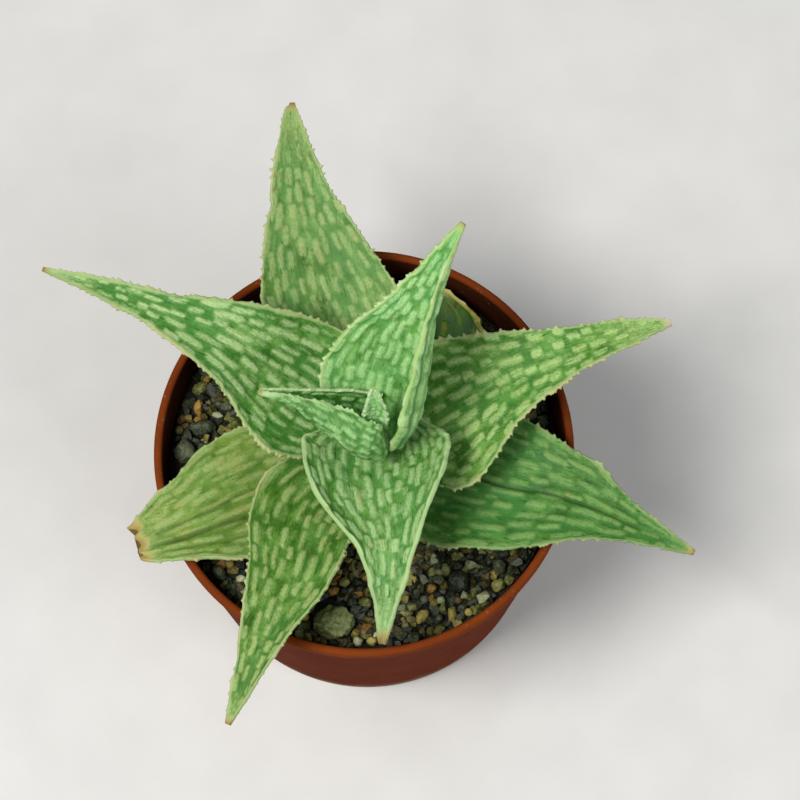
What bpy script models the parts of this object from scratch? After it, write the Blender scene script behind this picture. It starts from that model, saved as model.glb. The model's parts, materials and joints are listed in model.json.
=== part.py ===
# A small spotted aloe in a round plastic nursery pot.
# The pot stands on z = 0 with its axis on the z axis. The front of the plant faces -Y.
import math

import bmesh
import bpy
from mathutils import Matrix, Vector, noise

MM = 0.001

# Pot
POT_HEIGHT = 72 * MM
RIM_RADIUS = 45 * MM
BASE_RADIUS = 38.5 * MM
WALL = 1.3 * MM
LIP_HEIGHT = 3.5 * MM
LIP_PROUD = 0.5 * MM         # how far the lip stands out from the wall below it
FLOOR = 2.0 * MM
BASE_ROUND = 2.5 * MM        # rounding where the wall meets the floor
HOLE_RADIUS = 3.0 * MM
HOLE_RING = 24 * MM          # distance of the drain holes from the axis
HOLE_COUNT = 6
TURN_STEPS = 48

# Soil and stem
GAP = 0.3 * MM               # clearance between pieces that touch
SOIL_DROP = 10 * MM          # from the rim down to the soil
STEM_RADIUS = 4.0 * MM
STEM_DEPTH = 12 * MM         # how deep the stem is set in the soil
PLANT_X = 2.5 * MM           # the plant grows a little off the pot's axis
PLANT_Y = -0.5 * MM

# Leaves
LEAF_THICKNESS = 4.0 * MM    # at the base of a full-grown leaf
EDGE_THICKNESS = 0.5 * MM
CROWN_RISE = 9.5 * MM        # top of the stem above the rim
SECTIONS = 18                # rings along a leaf
ACROSS = 8                   # spaces across a leaf

# Stones
STONE_SINK = 0.25            # share of a stone's height that is flattened off below

SOIL_LEVEL = POT_HEIGHT - SOIL_DROP
STEM_TOP = POT_HEIGHT + CROWN_RISE

# Each leaf: points along the middle of its upper face in mm. x and y are measured from the pot's axis, z from
# the rim, or from the top of the stem where above is "crown". half holds its half widths at those points,
# measured along the curve of the face. curl is how far the left and right halves turn up, in degrees. A leaf
# with on_stem starts at the side of the stem, at the height given there. face is the way its upper face looks.
# near is the left half's width as a share of the right half's.
# thick is a share of LEAF_THICKNESS. The two lowest leaves pass close over the "lip", so their x, y and half are
# in 45ths of the rim's radius. The withered leaf lies inside the pot, above "soil", and its x, y and half are
# shares of the pot's inside radius at the soil.
LEAVES = {
    "leaf_west_low": dict(
        above="lip", on_stem=-4.0, half=(6.5, 13.5, 13.5, 9.0, 5.5, 3.6), curl=(16, 16), thick=1.0,
        path=((-12, -4.4, -1.8), (-27.7, -12.1, 1.4), (-37.4, -17.1, 3.6), (-45.2, -21.0, 4.8), (-48.6, -22.3, 5.0))),
    "leaf_southeast": dict(
        above="lip", on_stem=-3.5, half=(6.0, 16.0, 14.8, 9.8, 4.2, 0.4), curl=(20, 14), thick=1.0,
        path=((16.2, -4.6, -0.8), (30.6, -9.0, 2.8), (44.0, -12.6, 5.0), (56.2, -18.1, 5.5), (69.9, -23.8, 4.0))),
    "leaf_withered": dict(
        above="soil", on_stem=4.0, half=(0.07, 0.24, 0.36, 0.39, 0.21, 0.012), curl=(12, 12), thick=0.45,
        near=0.72,
        path=((0.13, 0.30, 4.0), (0.20, 0.54, 4.4), (0.255, 0.73, 5.4), (0.28, 0.85, 6.6), (0.29, 0.934, 7.4))),
    "leaf_north": dict(
        on_stem=0.8, half=(6.5, 14.0, 13.6, 6.6, 2.5, 0.4), curl=(16, 16), thick=1.0,
        path=((-2.6, 18.8, 3.5), (-9.0, 34.8, 7.0), (-13.6, 53.8, 10.0), (-15.8, 69.1, 11.0), (-15.8, 75.6, 10.5))),
    "leaf_southwest": dict(
        on_stem=1.8, half=(6.5, 11.8, 9.2, 5.2, 2.2, 0.4), curl=(34, 22), thick=1.0,
        path=((-11.0, -15.0, 6.5), (-15.2, -29.5, 10.0), (-20.0, -41.7, 11.0), (-24.7, -53.6, 10.0),
              (-27.8, -61.1, 8.0))),
    "leaf_west": dict(
        on_stem=7.4, half=(7.0, 15.4, 9.7, 4.6, 2.1, 0.35), curl=(24, 18), thick=1.0,
        path=((-12.5, 8.9, 12.0), (-26.8, 17.3, 19.0), (-40.7, 23.1, 22.0), (-54.9, 29.0, 22.0),
              (-67.8, 33.9, 20.0))),
    "leaf_east": dict(
        on_stem=6.2, half=(8.5, 17.2, 10.4, 5.4, 3.0, 0.5), curl=(22, 20), thick=1.0,
        path=((15.5, 4.6, 9.4), (28.5, 10.9, 14.8), (42.5, 15.6, 19.2), (54.6, 19.3, 20.5), (64.8, 22.0, 20.0))),
    "leaf_south": dict(
        above="crown", half=(9.5, 16.0, 15.5, 7.4, 3.3, 0.5), curl=(50, 46), thick=0.8,
        path=((2.6, 2.6, 4.1), (2.9, -3.8, 4.5), (3.2, -13.8, 9.0), (4.8, -25.1, 11.0), (5.0, -34.6, 7.5),
              (4.0, -44.1, -2.5))),
    "leaf_inner_north": dict(
        above="crown", half=(8.0, 15.0, 13.2, 7.0, 3.2, 0.4), curl=(30, 130), thick=0.5, face=(-0.35, -0.75, 0.6),
        path=((5.0, -1.0, 8.3), (6.2, 5.0, 16.5), (8.5, 10.5, 26.5), (11.8, 16.5, 36.5), (15.8, 22.8, 45.0),
              (20.2, 29.3, 51.5))),
    "leaf_inner_west": dict(
        above="crown", half=(3.4, 13.8, 10.6, 3.4, 0.4), curl=(140, 130), thick=0.35, face=(0.3, 0.8, 0.8),
        near=0.76, path=((3.9, -6.7, 10.9), (-1.3, -5.9, 14.0), (-7.1, -2.9, 18.5), (-13.3, 0.1, 25.0),
                         (-20.7, 0.8, 30.5))),
    "leaf_bud": dict(
        above="crown", half=(1.4, 2.6, 2.5, 1.4, 0.25), curl=(50, 50), thick=0.3, face=(0.0, -1.0, 0.35),
        path=((2.5, -2.3, 13.8), (2.6, -1.6, 17.2), (2.7, -0.2, 21.0), (2.6, 0.7, 26.0), (2.5, 1.7, 30.5))),
}

# Each stone: mm along the wall from the front (to the right is positive), mm in from the wall, its length,
# width and height in mm, its turn in degrees and its kind.
STONES = (
    (-7.5, 5.9, 9.4, 9.0, 6.4, 10, "dark"),
    (-9.5, 12.4, 3.2, 2.3, 2.4, 10, "amber"),
    (-14.8, 5.4, 2.3, 2.5, 2.3, 60, "ochre"),
    (-17.2, 2.1, 3.2, 2.7, 2.8, 20, "amber"),
    (-1.4, 2.2, 2.9, 2.5, 2.6, 0, "pale"),
    (1.9, 2.3, 2.3, 2.7, 2.5, 80, "ochre"),
    (0.4, 10.8, 2.5, 3.2, 2.6, 70, "olive"),
    (1.4, 6.9, 3.3, 1.8, 2.3, -25, "brown"),
    (0.6, 16.4, 2.3, 2.8, 2.4, 85, "amber"),
    (-6.6, 15.0, 3.0, 2.3, 2.3, 15, "olive"),
    (27.5, 8.6, 5.0, 5.4, 4.2, 30, "dark"),
    (19.8, 10.4, 2.5, 2.3, 2.4, 0, "amber"),
    (21.4, 3.4, 2.2, 4.3, 2.6, 0, "ochre"),
    (14.6, 5.6, 2.6, 4.2, 2.6, -30, "ochre"),
    (34.0, 2.3, 3.4, 3.1, 2.8, 20, "olive"),
    (24.9, 1.9, 2.1, 2.1, 2.2, 0, "ochre"),
    (18.2, 3.8, 2.1, 2.0, 2.4, 40, "grey"),
    (16.7, 8.8, 2.1, 2.3, 2.3, 10, "grey"),
    (20.6, 7.3, 2.0, 1.9, 2.2, 30, "pale"),
    (24.4, 5.2, 2.0, 1.8, 2.3, 0, "brown"),
    (37.6, 5.0, 3.0, 3.9, 3.0, 20, "dark"),
    (10.9, 7.2, 3.4, 1.9, 2.3, 5, "olive"),
    (-33.3, 5.0, 3.0, 2.1, 2.4, 20, "pale"),
    (-37.8, 2.4, 4.1, 3.0, 3.2, -50, "dark"),
    (-68.5, 3.4, 5.2, 5.9, 4.2, 15, "grey"),
    (-66.6, 8.4, 4.6, 3.6, 3.2, 50, "olive"),
    (-74.8, 6.3, 6.4, 4.0, 4.0, 10, "grey"),
    (-73.4, 1.4, 2.4, 2.2, 2.4, 0, "brown"),
    (-79.9, 4.3, 2.2, 3.8, 3.0, -10, "amber"),
    (-84.4, 3.0, 4.2, 3.0, 3.0, 35, "olive"),
    (-79.4, 8.8, 2.9, 1.7, 2.2, -10, "pale"),
    (75.8, 2.6, 3.2, 3.8, 3.0, 10, "grey"),
    (105.0, 2.4, 3.2, 2.8, 2.2, 10, "grey"),
)

COLOURS = {
    "pot": ((0.42, 0.12, 0.045), 0.45),
    "soil": ((0.035, 0.035, 0.03), 0.9),
    "stem": ((0.25, 0.3, 0.12), 0.6),
    "leaf": ((0.13, 0.33, 0.12), 0.5),
    "withered": ((0.16, 0.2, 0.06), 0.7),
    "dark": ((0.035, 0.045, 0.04), 0.85),
    "grey": ((0.09, 0.11, 0.09), 0.85),
    "olive": ((0.2, 0.2, 0.08), 0.8),
    "amber": ((0.35, 0.17, 0.05), 0.75),
    "ochre": ((0.32, 0.23, 0.07), 0.8),
    "brown": ((0.13, 0.08, 0.045), 0.85),
    "pale": ((0.33, 0.36, 0.26), 0.8),
}


def material(name):
    found = bpy.data.materials.get(name)
    if found:
        return found
    colour, roughness = COLOURS[name]
    made = bpy.data.materials.new(name)
    made.use_nodes = True
    shader = made.node_tree.nodes["Principled BSDF"]
    shader.inputs["Base Color"].default_value = (*colour, 1)
    shader.inputs["Roughness"].default_value = roughness
    return made


def add_object(name, mesh, collection, look):
    made = bpy.data.objects.new(name, mesh)
    mesh.materials.append(material(look))
    mesh.shade_smooth()
    collection.objects.link(made)
    return made


def turned(name, profile, collection, look):
    """A closed solid turned round the z axis from (radius, height) points that run down its outer side."""
    mesh = bpy.data.meshes.new(name)
    points = [(radius, 0, height) for radius, height in profile]
    edges = [(i, i + 1) for i in range(len(points) - 1)]
    mesh.from_pydata(points, edges, [])
    made = add_object(name, mesh, collection, look)
    screw = made.modifiers.new("turn", "SCREW")
    screw.axis = "Z"
    screw.steps = TURN_STEPS
    screw.render_steps = TURN_STEPS
    screw.use_merge_vertices = True
    screw.merge_threshold = 0.00001
    screw.use_smooth_shade = True
    return made


def cutter(name, radius, low, high, x, y, cutters):
    """An upright round cutter from low to high."""
    bm = bmesh.new()
    bmesh.ops.create_cone(bm, cap_ends=True, segments=24, radius1=radius, radius2=radius, depth=high - low)
    mesh = bpy.data.meshes.new(name)
    bm.to_mesh(mesh)
    bm.free()
    made = bpy.data.objects.new(name, mesh)
    made.location = (x, y, (low + high) / 2)
    made.hide_render = True
    made.display_type = "WIRE"
    cutters.objects.link(made)
    return made


def cut(target, tool):
    boolean = target.modifiers.new("cut_" + tool.name, "BOOLEAN")
    boolean.operation = "DIFFERENCE"
    boolean.solver = "EXACT"
    boolean.object = tool


def arc(centre_radius, centre_height, size, start, end, steps):
    """Points of an arc in the (radius, height) plane, angles in degrees."""
    points = []
    for i in range(steps + 1):
        angle = math.radians(start + (end - start) * i / steps)
        points.append((centre_radius + size * math.cos(angle), centre_height + size * math.sin(angle)))
    return points


def wall_radius(height):
    """Radius of the outside of the pot's wall at a height."""
    top = RIM_RADIUS - LIP_PROUD
    return BASE_RADIUS + (top - BASE_RADIUS) * height / POT_HEIGHT


def build_pot(collection, cutters):
    lip = WALL + LIP_PROUD
    crest = lip / 2
    lip_bottom = POT_HEIGHT - LIP_HEIGHT
    profile = [(0, FLOOR), (wall_radius(FLOOR) - WALL, FLOOR)]
    profile += arc(RIM_RADIUS - crest, POT_HEIGHT - crest, crest, 180, 0, 6)
    profile += [(RIM_RADIUS, lip_bottom + LIP_PROUD), (wall_radius(lip_bottom), lip_bottom)]
    profile += arc(wall_radius(BASE_ROUND) - BASE_ROUND, BASE_ROUND, BASE_ROUND, 0, -90, 4)
    profile.append((0, 0))
    pot = turned("pot", profile, collection, "pot")
    for i in range(HOLE_COUNT):
        angle = 2 * math.pi * (i + 0.55) / HOLE_COUNT
        x = HOLE_RING * math.cos(angle)
        y = HOLE_RING * math.sin(angle)
        tool = cutter("drain_%d" % i, HOLE_RADIUS, -FLOOR, 2 * FLOOR, x, y, cutters)
        cut(pot, tool)


def build_soil(collection, cutters):
    bottom = FLOOR + GAP
    profile = [
        (0, SOIL_LEVEL),
        (wall_radius(SOIL_LEVEL) - WALL - GAP, SOIL_LEVEL),
        (wall_radius(bottom) - WALL - GAP, bottom),
        (0, bottom),
    ]
    soil = turned("soil", profile, collection, "soil")
    pit = cutter("stem_pit", STEM_RADIUS + GAP, SOIL_LEVEL - STEM_DEPTH - GAP, SOIL_LEVEL + GAP,
                 PLANT_X, PLANT_Y, cutters)
    cut(soil, pit)


def build_stem(collection):
    foot = SOIL_LEVEL - STEM_DEPTH
    top_round = STEM_RADIUS / 3
    profile = [(0, STEM_TOP)]
    profile += arc(STEM_RADIUS - top_round, STEM_TOP - top_round, top_round, 90, 0, 3)
    profile += [(STEM_RADIUS, foot + top_round), (STEM_RADIUS - top_round, foot), (0, foot)]
    stem = turned("stem", profile, collection, "stem")
    stem.location = (PLANT_X, PLANT_Y, 0)


def smooth_through(values, amount):
    """The value at amount, from 0 to 1, on a smooth curve through evenly spaced values."""
    place = amount * (len(values) - 1)
    i = min(int(place), len(values) - 2)
    t = place - i
    before = values[i - 1] if i else values[0] * 2 - values[1]
    after = values[i + 2] if i + 2 < len(values) else values[-1] * 2 - values[-2]
    start, end = values[i], values[i + 1]
    return 0.5 * (2 * start + (end - before) * t
                  + (2 * before - 5 * start + 4 * end - after) * t * t
                  + (3 * start - before - 3 * end + after) * t ** 3)


def leaf_datum(spec):
    """The height that the leaf's z values are measured from, and the length of one unit of x, y and half."""
    above = spec.get("above", "rim")
    if above == "soil":
        return SOIL_LEVEL, wall_radius(SOIL_LEVEL) - WALL
    if above == "lip":
        return POT_HEIGHT, RIM_RADIUS / 45
    return (STEM_TOP if above == "crown" else POT_HEIGHT), MM


def leaf_path(spec, datum, unit):
    """The leaf's middle line as vectors in metres."""
    path = [Vector((x * unit, y * unit, datum + z * MM)) for x, y, z in spec["path"]]
    if "on_stem" in spec:
        outward = path[0] - Vector((PLANT_X, PLANT_Y, 0))
        outward.z = 0
        outward.normalize()
        start = Vector((PLANT_X, PLANT_Y, datum + spec["on_stem"] * MM)) + outward * (STEM_RADIUS + GAP)
        path.insert(0, start)
    return path


def leaf_ring(centre, ahead, face, half, curl, thickness, near):
    """One closed section of a leaf: its upper face from left to right, then its underside back again."""
    normal = (face - ahead * face.dot(ahead)).normalized()
    right = ahead.cross(normal)
    upper = []
    lower = []
    for j in range(ACROSS + 1):
        across = 2 * j / ACROSS - 1
        reach = half * near if across < 0 else half
        angle = math.radians(curl[1] if across > 0 else curl[0]) * abs(across)
        full = math.radians(curl[1] if across > 0 else curl[0])
        sideways = math.copysign(reach * math.sin(angle) / full, across)
        upward = reach * (1 - math.cos(angle)) / full
        outward = normal * math.cos(angle) - right * math.copysign(math.sin(angle), across)
        point = centre + right * sideways + normal * upward
        depth = EDGE_THICKNESS + (thickness - EDGE_THICKNESS) * (1 - across ** 2)
        upper.append(point)
        lower.append(point - outward * depth)
    return upper + lower[::-1]


def build_leaf(name, spec, collection):
    datum, unit = leaf_datum(spec)
    path = leaf_path(spec, datum, unit)
    halves = [half * unit for half in spec["half"]]
    face = Vector(spec.get("face", (0, 0, 1)))
    bm = bmesh.new()
    rings = []
    for i in range(SECTIONS + 1):
        amount = i / SECTIONS
        centre = smooth_through(path, amount)
        ahead = smooth_through(path, min(amount + 0.02, 1)) - smooth_through(path, max(amount - 0.02, 0))
        half = max(smooth_through(halves, amount), halves[-1])
        body = EDGE_THICKNESS + (LEAF_THICKNESS * spec["thick"] - EDGE_THICKNESS) * (1 - amount ** 1.6)
        points = leaf_ring(centre, ahead.normalized(), face, half, spec["curl"], min(body, half * 1.2),
                           spec.get("near", 1))
        rings.append([bm.verts.new(point) for point in points])
    count = len(rings[0])
    for first, second in zip(rings, rings[1:]):
        for j in range(count):
            k = (j + 1) % count
            bm.faces.new((first[j], first[k], second[k], second[j]))
    bm.faces.new(rings[0][::-1])
    bm.faces.new(rings[-1])
    bmesh.ops.recalc_face_normals(bm, faces=bm.faces)
    mesh = bpy.data.meshes.new(name)
    bm.to_mesh(mesh)
    bm.free()
    add_object(name, mesh, collection, "withered" if spec.get("above") == "soil" else "leaf")


def build_stone(number, spec, collection):
    """A rough pebble with a flat underside that lies on the soil."""
    along, inset, length, width, height, turn, kind = spec
    wall = wall_radius(SOIL_LEVEL) - WALL
    bearing = along * MM / wall - math.pi / 2
    reach = wall - inset * MM
    bm = bmesh.new()
    bmesh.ops.create_icosphere(bm, subdivisions=2, radius=0.5)
    for vert in bm.verts:
        lumps = noise.noise(vert.co * 2.4 + Vector((number * 7.3, 1.7, 4.1)))
        vert.co *= 1 + 0.22 * lumps
        vert.co.z = max(vert.co.z, STONE_SINK - 0.5 + 0.02 * vert.co.x)
    bmesh.ops.scale(bm, vec=(length * MM, width * MM, height * MM), verts=bm.verts)
    bmesh.ops.rotate(bm, matrix=Matrix.Rotation(math.radians(turn), 3, "Z"), verts=bm.verts)
    lowest = min(vert.co.z for vert in bm.verts)
    mesh = bpy.data.meshes.new("stone_%02d" % number)
    bm.to_mesh(mesh)
    bm.free()
    stone = add_object("stone_%02d" % number, mesh, collection, kind)
    stone.location = (reach * math.cos(bearing), reach * math.sin(bearing), SOIL_LEVEL + GAP - lowest)


def main():
    for old in list(bpy.data.objects):
        bpy.data.objects.remove(old, do_unlink=True)
    collection = bpy.data.collections.new("potted_aloe")
    cutters = bpy.data.collections.new("cutters")
    bpy.context.scene.collection.children.link(collection)
    bpy.context.scene.collection.children.link(cutters)
    build_pot(collection, cutters)
    build_soil(collection, cutters)
    build_stem(collection)
    for name, spec in LEAVES.items():
        build_leaf(name, spec, collection)
    for number, spec in enumerate(STONES, 1):
        build_stone(number, spec, collection)


main()
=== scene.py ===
# A spotted aloe in a small plastic pot of dark grit.
import json
import math
import random

import bmesh
import bpy
import numpy as np
from mathutils import Matrix, Vector, noise


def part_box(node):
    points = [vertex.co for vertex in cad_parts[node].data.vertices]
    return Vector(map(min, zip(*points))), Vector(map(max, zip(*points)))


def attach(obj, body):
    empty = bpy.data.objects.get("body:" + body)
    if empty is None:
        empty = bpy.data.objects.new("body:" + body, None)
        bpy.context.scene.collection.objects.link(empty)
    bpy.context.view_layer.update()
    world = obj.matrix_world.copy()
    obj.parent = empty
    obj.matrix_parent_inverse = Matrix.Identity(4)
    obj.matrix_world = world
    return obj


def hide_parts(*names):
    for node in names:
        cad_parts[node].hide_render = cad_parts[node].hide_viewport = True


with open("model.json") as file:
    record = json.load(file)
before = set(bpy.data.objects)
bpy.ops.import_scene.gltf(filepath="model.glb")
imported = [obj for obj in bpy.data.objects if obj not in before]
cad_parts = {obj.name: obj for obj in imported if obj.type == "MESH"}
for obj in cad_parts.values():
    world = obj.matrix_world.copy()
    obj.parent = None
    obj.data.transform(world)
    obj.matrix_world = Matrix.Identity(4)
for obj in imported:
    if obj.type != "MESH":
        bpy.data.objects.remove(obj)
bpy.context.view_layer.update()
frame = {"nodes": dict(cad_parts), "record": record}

mm = 0.001


def addNode(tree, kind, inputs, **settings):
    made = tree.nodes.new(kind)
    for key, value in settings.items():
        setattr(made, key, value)
    for key, value in inputs.items():
        if isinstance(value, bpy.types.NodeSocket):
            tree.links.new(value, made.inputs[key])
        else:
            made.inputs[key].default_value = value
    return made


def stretched(tree, place, stretch):
    if not stretch:
        return place
    return addNode(tree, "ShaderNodeMapping", {"Vector": place, "Scale": stretch}).outputs[0]


def noiseValue(tree, place, scale, detail=2.0, roughness=0.5, stretch=None):
    inputs = {"Vector": stretched(tree, place, stretch), "Scale": scale, "Detail": detail,
              "Roughness": roughness}
    return addNode(tree, "ShaderNodeTexNoise", inputs).outputs[0]


def cellDistance(tree, place, scale, stretch=None):
    inputs = {"Vector": stretched(tree, place, stretch), "Scale": scale}
    return addNode(tree, "ShaderNodeTexVoronoi", inputs).outputs[0]


def easeBetween(tree, value, low, high, start=0.0, end=1.0):
    made = addNode(tree, "ShaderNodeMapRange", {0: value, 1: low, 2: high, 3: start, 4: end},
                   interpolation_type="SMOOTHSTEP")
    return made.outputs[0]


def plus(tree, first, second):
    return addNode(tree, "ShaderNodeMath", {0: first, 1: second}, operation="ADD").outputs[0]


def minus(tree, first, second):
    return addNode(tree, "ShaderNodeMath", {0: first, 1: second}, operation="SUBTRACT").outputs[0]


def times(tree, first, second):
    return addNode(tree, "ShaderNodeMath", {0: first, 1: second}, operation="MULTIPLY").outputs[0]


def rootOf(tree, value):
    return addNode(tree, "ShaderNodeMath", {0: value}, operation="SQRT").outputs[0]


def colourMix(tree, amount, first, second):
    def full(colour):
        return (*colour, 1) if isinstance(colour, tuple) else colour
    inputs = {0: amount, 6: full(first), 7: full(second)}
    return addNode(tree, "ShaderNodeMix", inputs, data_type="RGBA").outputs[2]


def colourRamp(tree, value, stops):
    made = addNode(tree, "ShaderNodeValToRGB", {0: value})
    ramp = made.color_ramp
    while len(ramp.elements) < len(stops):
        ramp.elements.new(0.5)
    for element, (place, colour) in zip(ramp.elements, stops):
        element.position = place
        element.color = (*colour, 1)
    return made.outputs[0]


def attributeOf(tree, name, output="Fac"):
    return addNode(tree, "ShaderNodeAttribute", {}, attribute_name=name).outputs[output]


def startMaterial(name, **constants):
    made = bpy.data.materials.new(name)
    made.use_nodes = True
    tree = made.node_tree
    shader = tree.nodes["Principled BSDF"]
    for key, value in constants.items():
        shader.inputs[key.replace("_", " ")].default_value = value
    return made, tree, shader


def bumpInto(tree, shader, height, distance, strength=1.0, under=None):
    inputs = {"Height": height, "Distance": distance, "Strength": strength}
    if under:
        inputs["Normal"] = under
    made = addNode(tree, "ShaderNodeBump", inputs).outputs[0]
    tree.links.new(made, shader.inputs["Normal"])
    return made


def linear(red, green, blue):
    # screen colour, 0 to 255, as linear light
    shares = (v / 255 for v in (red, green, blue))
    return tuple(v / 12.92 if v <= 10 / 255 else ((v + 0.055) / 1.055) ** 2.4 for v in shares)


def toneStops(stops):
    return tuple((share, linear(*tone)) for share, tone in stops)


def finishPiece(name, mesh, material, slotName, *nodes):
    piece = bpy.data.objects.new(name, mesh)
    bpy.context.scene.collection.objects.link(piece)
    mesh.materials.clear()
    mesh.materials.append(material)
    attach(piece, "root")
    if nodes:
        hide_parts(*nodes)
    return piece


view = dict(aim=(7.7, 9.98, 74.92), distance=600, elevation=73.7, lens=126.27, sensor=36, nearest=0.02)


def placeCamera():
    camera = bpy.data.objects.new("camera", bpy.data.cameras.new("camera"))
    camera.data.lens = view["lens"]
    camera.data.sensor_width = view["sensor"]
    camera.data.clip_start = view["nearest"]
    tilt = math.radians(view["elevation"])
    away = Vector((0, -math.cos(tilt), math.sin(tilt))) * view["distance"]
    camera.location = (Vector(view["aim"]) + away) * mm
    camera.rotation_euler = (math.pi / 2 - tilt, 0, 0)
    bpy.context.scene.collection.objects.link(camera)
    bpy.context.scene.camera = camera


studio = dict(
    target=(0, 0, 50), sky=(0.92, 0.96, 1.0), skyStrength=0.24, floorHalf=2.0, floorGrain=60,
    floorTones=((0.3, (0.70, 0.69, 0.67)), (0.7, (0.74, 0.73, 0.71))),
    lamps={"keyLight": dict(place=(-520, -260, 1180), size=520, power=14.2, colour=(1.0, 0.985, 0.95)),
           "fillLight": dict(place=(760, -600, 900), size=800, power=5.0, colour=(0.95, 0.98, 1.0))},
)


def hangLamp(name, lamp):
    data = bpy.data.lights.new(name, "AREA")
    data.shape = "DISK"
    data.size = lamp["size"] * mm
    data.energy = lamp["power"]
    data.color = lamp["colour"]
    made = bpy.data.objects.new(name, data)
    place = Vector(lamp["place"])
    made.location = place * mm
    made.rotation_euler = (Vector(studio["target"]) - place).to_track_quat("-Z", "Y").to_euler()
    bpy.context.scene.collection.objects.link(made)


def layFloor():
    bm = bmesh.new()
    bmesh.ops.create_grid(bm, x_segments=2, y_segments=2, size=studio["floorHalf"])
    mesh = bpy.data.meshes.new("floor")
    bm.to_mesh(mesh)
    bm.free()
    floor = bpy.data.objects.new("floor", mesh)
    material, tree, shader = startMaterial("paleFloor", Roughness=0.8)
    place = addNode(tree, "ShaderNodeTexCoord", {}).outputs["Object"]
    grain = noiseValue(tree, place, studio["floorGrain"], 3)
    tree.links.new(colourRamp(tree, grain, studio["floorTones"]), shader.inputs["Base Color"])
    mesh.materials.append(material)
    bpy.context.scene.collection.objects.link(floor)


def lightSky():
    world = bpy.data.worlds.new("studio")
    world.use_nodes = True
    sky = world.node_tree.nodes["Background"]
    sky.inputs["Color"].default_value = (*studio["sky"], 1)
    sky.inputs["Strength"].default_value = studio["skyStrength"]
    bpy.context.scene.world = world


placeCamera()
layFloor()
for name, lamp in studio["lamps"].items():
    hangLamp(name, lamp)
lightSky()
bpy.context.scene.view_settings.view_transform = "Standard"
print("camera and light set")


# lengths in mm
pot = dict(
    height=72, rimRadius=45, baseRadius=38.5, wall=1.3, lipHeight=3.5, lipProud=0.5, floor=2.0,
    floorRound=1.2, baseRound=2.5, foot=((33.5, 0), (32.9, 0.35), (30.5, 0.35)),
    lipFoot=((0, 0.62), (0.08, 0.3), (0.25, 0.08)), insideShares=(0.15, 0.3, 0.45, 0.6, 0.75, 0.88),
    outsideShares=(0.85, 0.7, 0.55, 0.4, 0.25, 0.12), holeRadius=3.0, holeRing=24, holes=6,
    holeTurn=0.55, drillLength=12, steps=168, crease=38,
)

# a colour beside the heights or depths in mm between which it comes in
potLook = dict(
    lip=((0.25, (107, 47, 18)), (0.5, (119, 55, 22)), (0.75, (132, 65, 28))),
    # the wall colour is painted shade on the side wall below the lip
    wall=(94, 34, 10), wallFrom=(69.2, 68.0), wallShare=0.8,
    # the pale band near the foot is painted reflection of light on the curved lower edge
    lime=(150, 132, 105), limeFrom=(14, 0), limeShare=0.6,
    # the dark inside colour is painted shade inside the pot
    stain=(44, 26, 18), stainDepth=(-0.7, -1.1), stainTop=(71.8, 70.8), stainShare=0.8,
    dust=(196, 170, 140), dustShare=0.25,
)


def wallRadius(height):
    top = pot["rimRadius"] - pot["lipProud"]
    return pot["baseRadius"] + (top - pot["baseRadius"]) * height / pot["height"]


def arcPoints(radius, height, size, start, end, steps):
    points = []
    for i in range(steps + 1):
        angle = math.radians(start + (end - start) * i / steps)
        points.append((radius + size * math.cos(angle), height + size * math.sin(angle)))
    return points


def spinProfile(bm, profile, steps):
    verts = [bm.verts.new((radius * mm, 0, height * mm)) for radius, height in profile]
    edges = [bm.edges.new(pair) for pair in zip(verts, verts[1:])]
    bmesh.ops.spin(bm, geom=verts + edges, cent=(0, 0, 0), axis=(0, 0, 1), angle=math.tau, steps=steps,
                   use_merge=True)
    bmesh.ops.remove_doubles(bm, verts=bm.verts, dist=0.005 * mm)
    bmesh.ops.recalc_face_normals(bm, faces=bm.faces)


def meshFrom(bm, name, sharp=None):
    mesh = bpy.data.meshes.new(name)
    bm.to_mesh(mesh)
    bm.free()
    mesh.shade_smooth()
    if sharp:
        mesh.set_sharp_from_angle(angle=math.radians(sharp))
    return mesh


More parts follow.
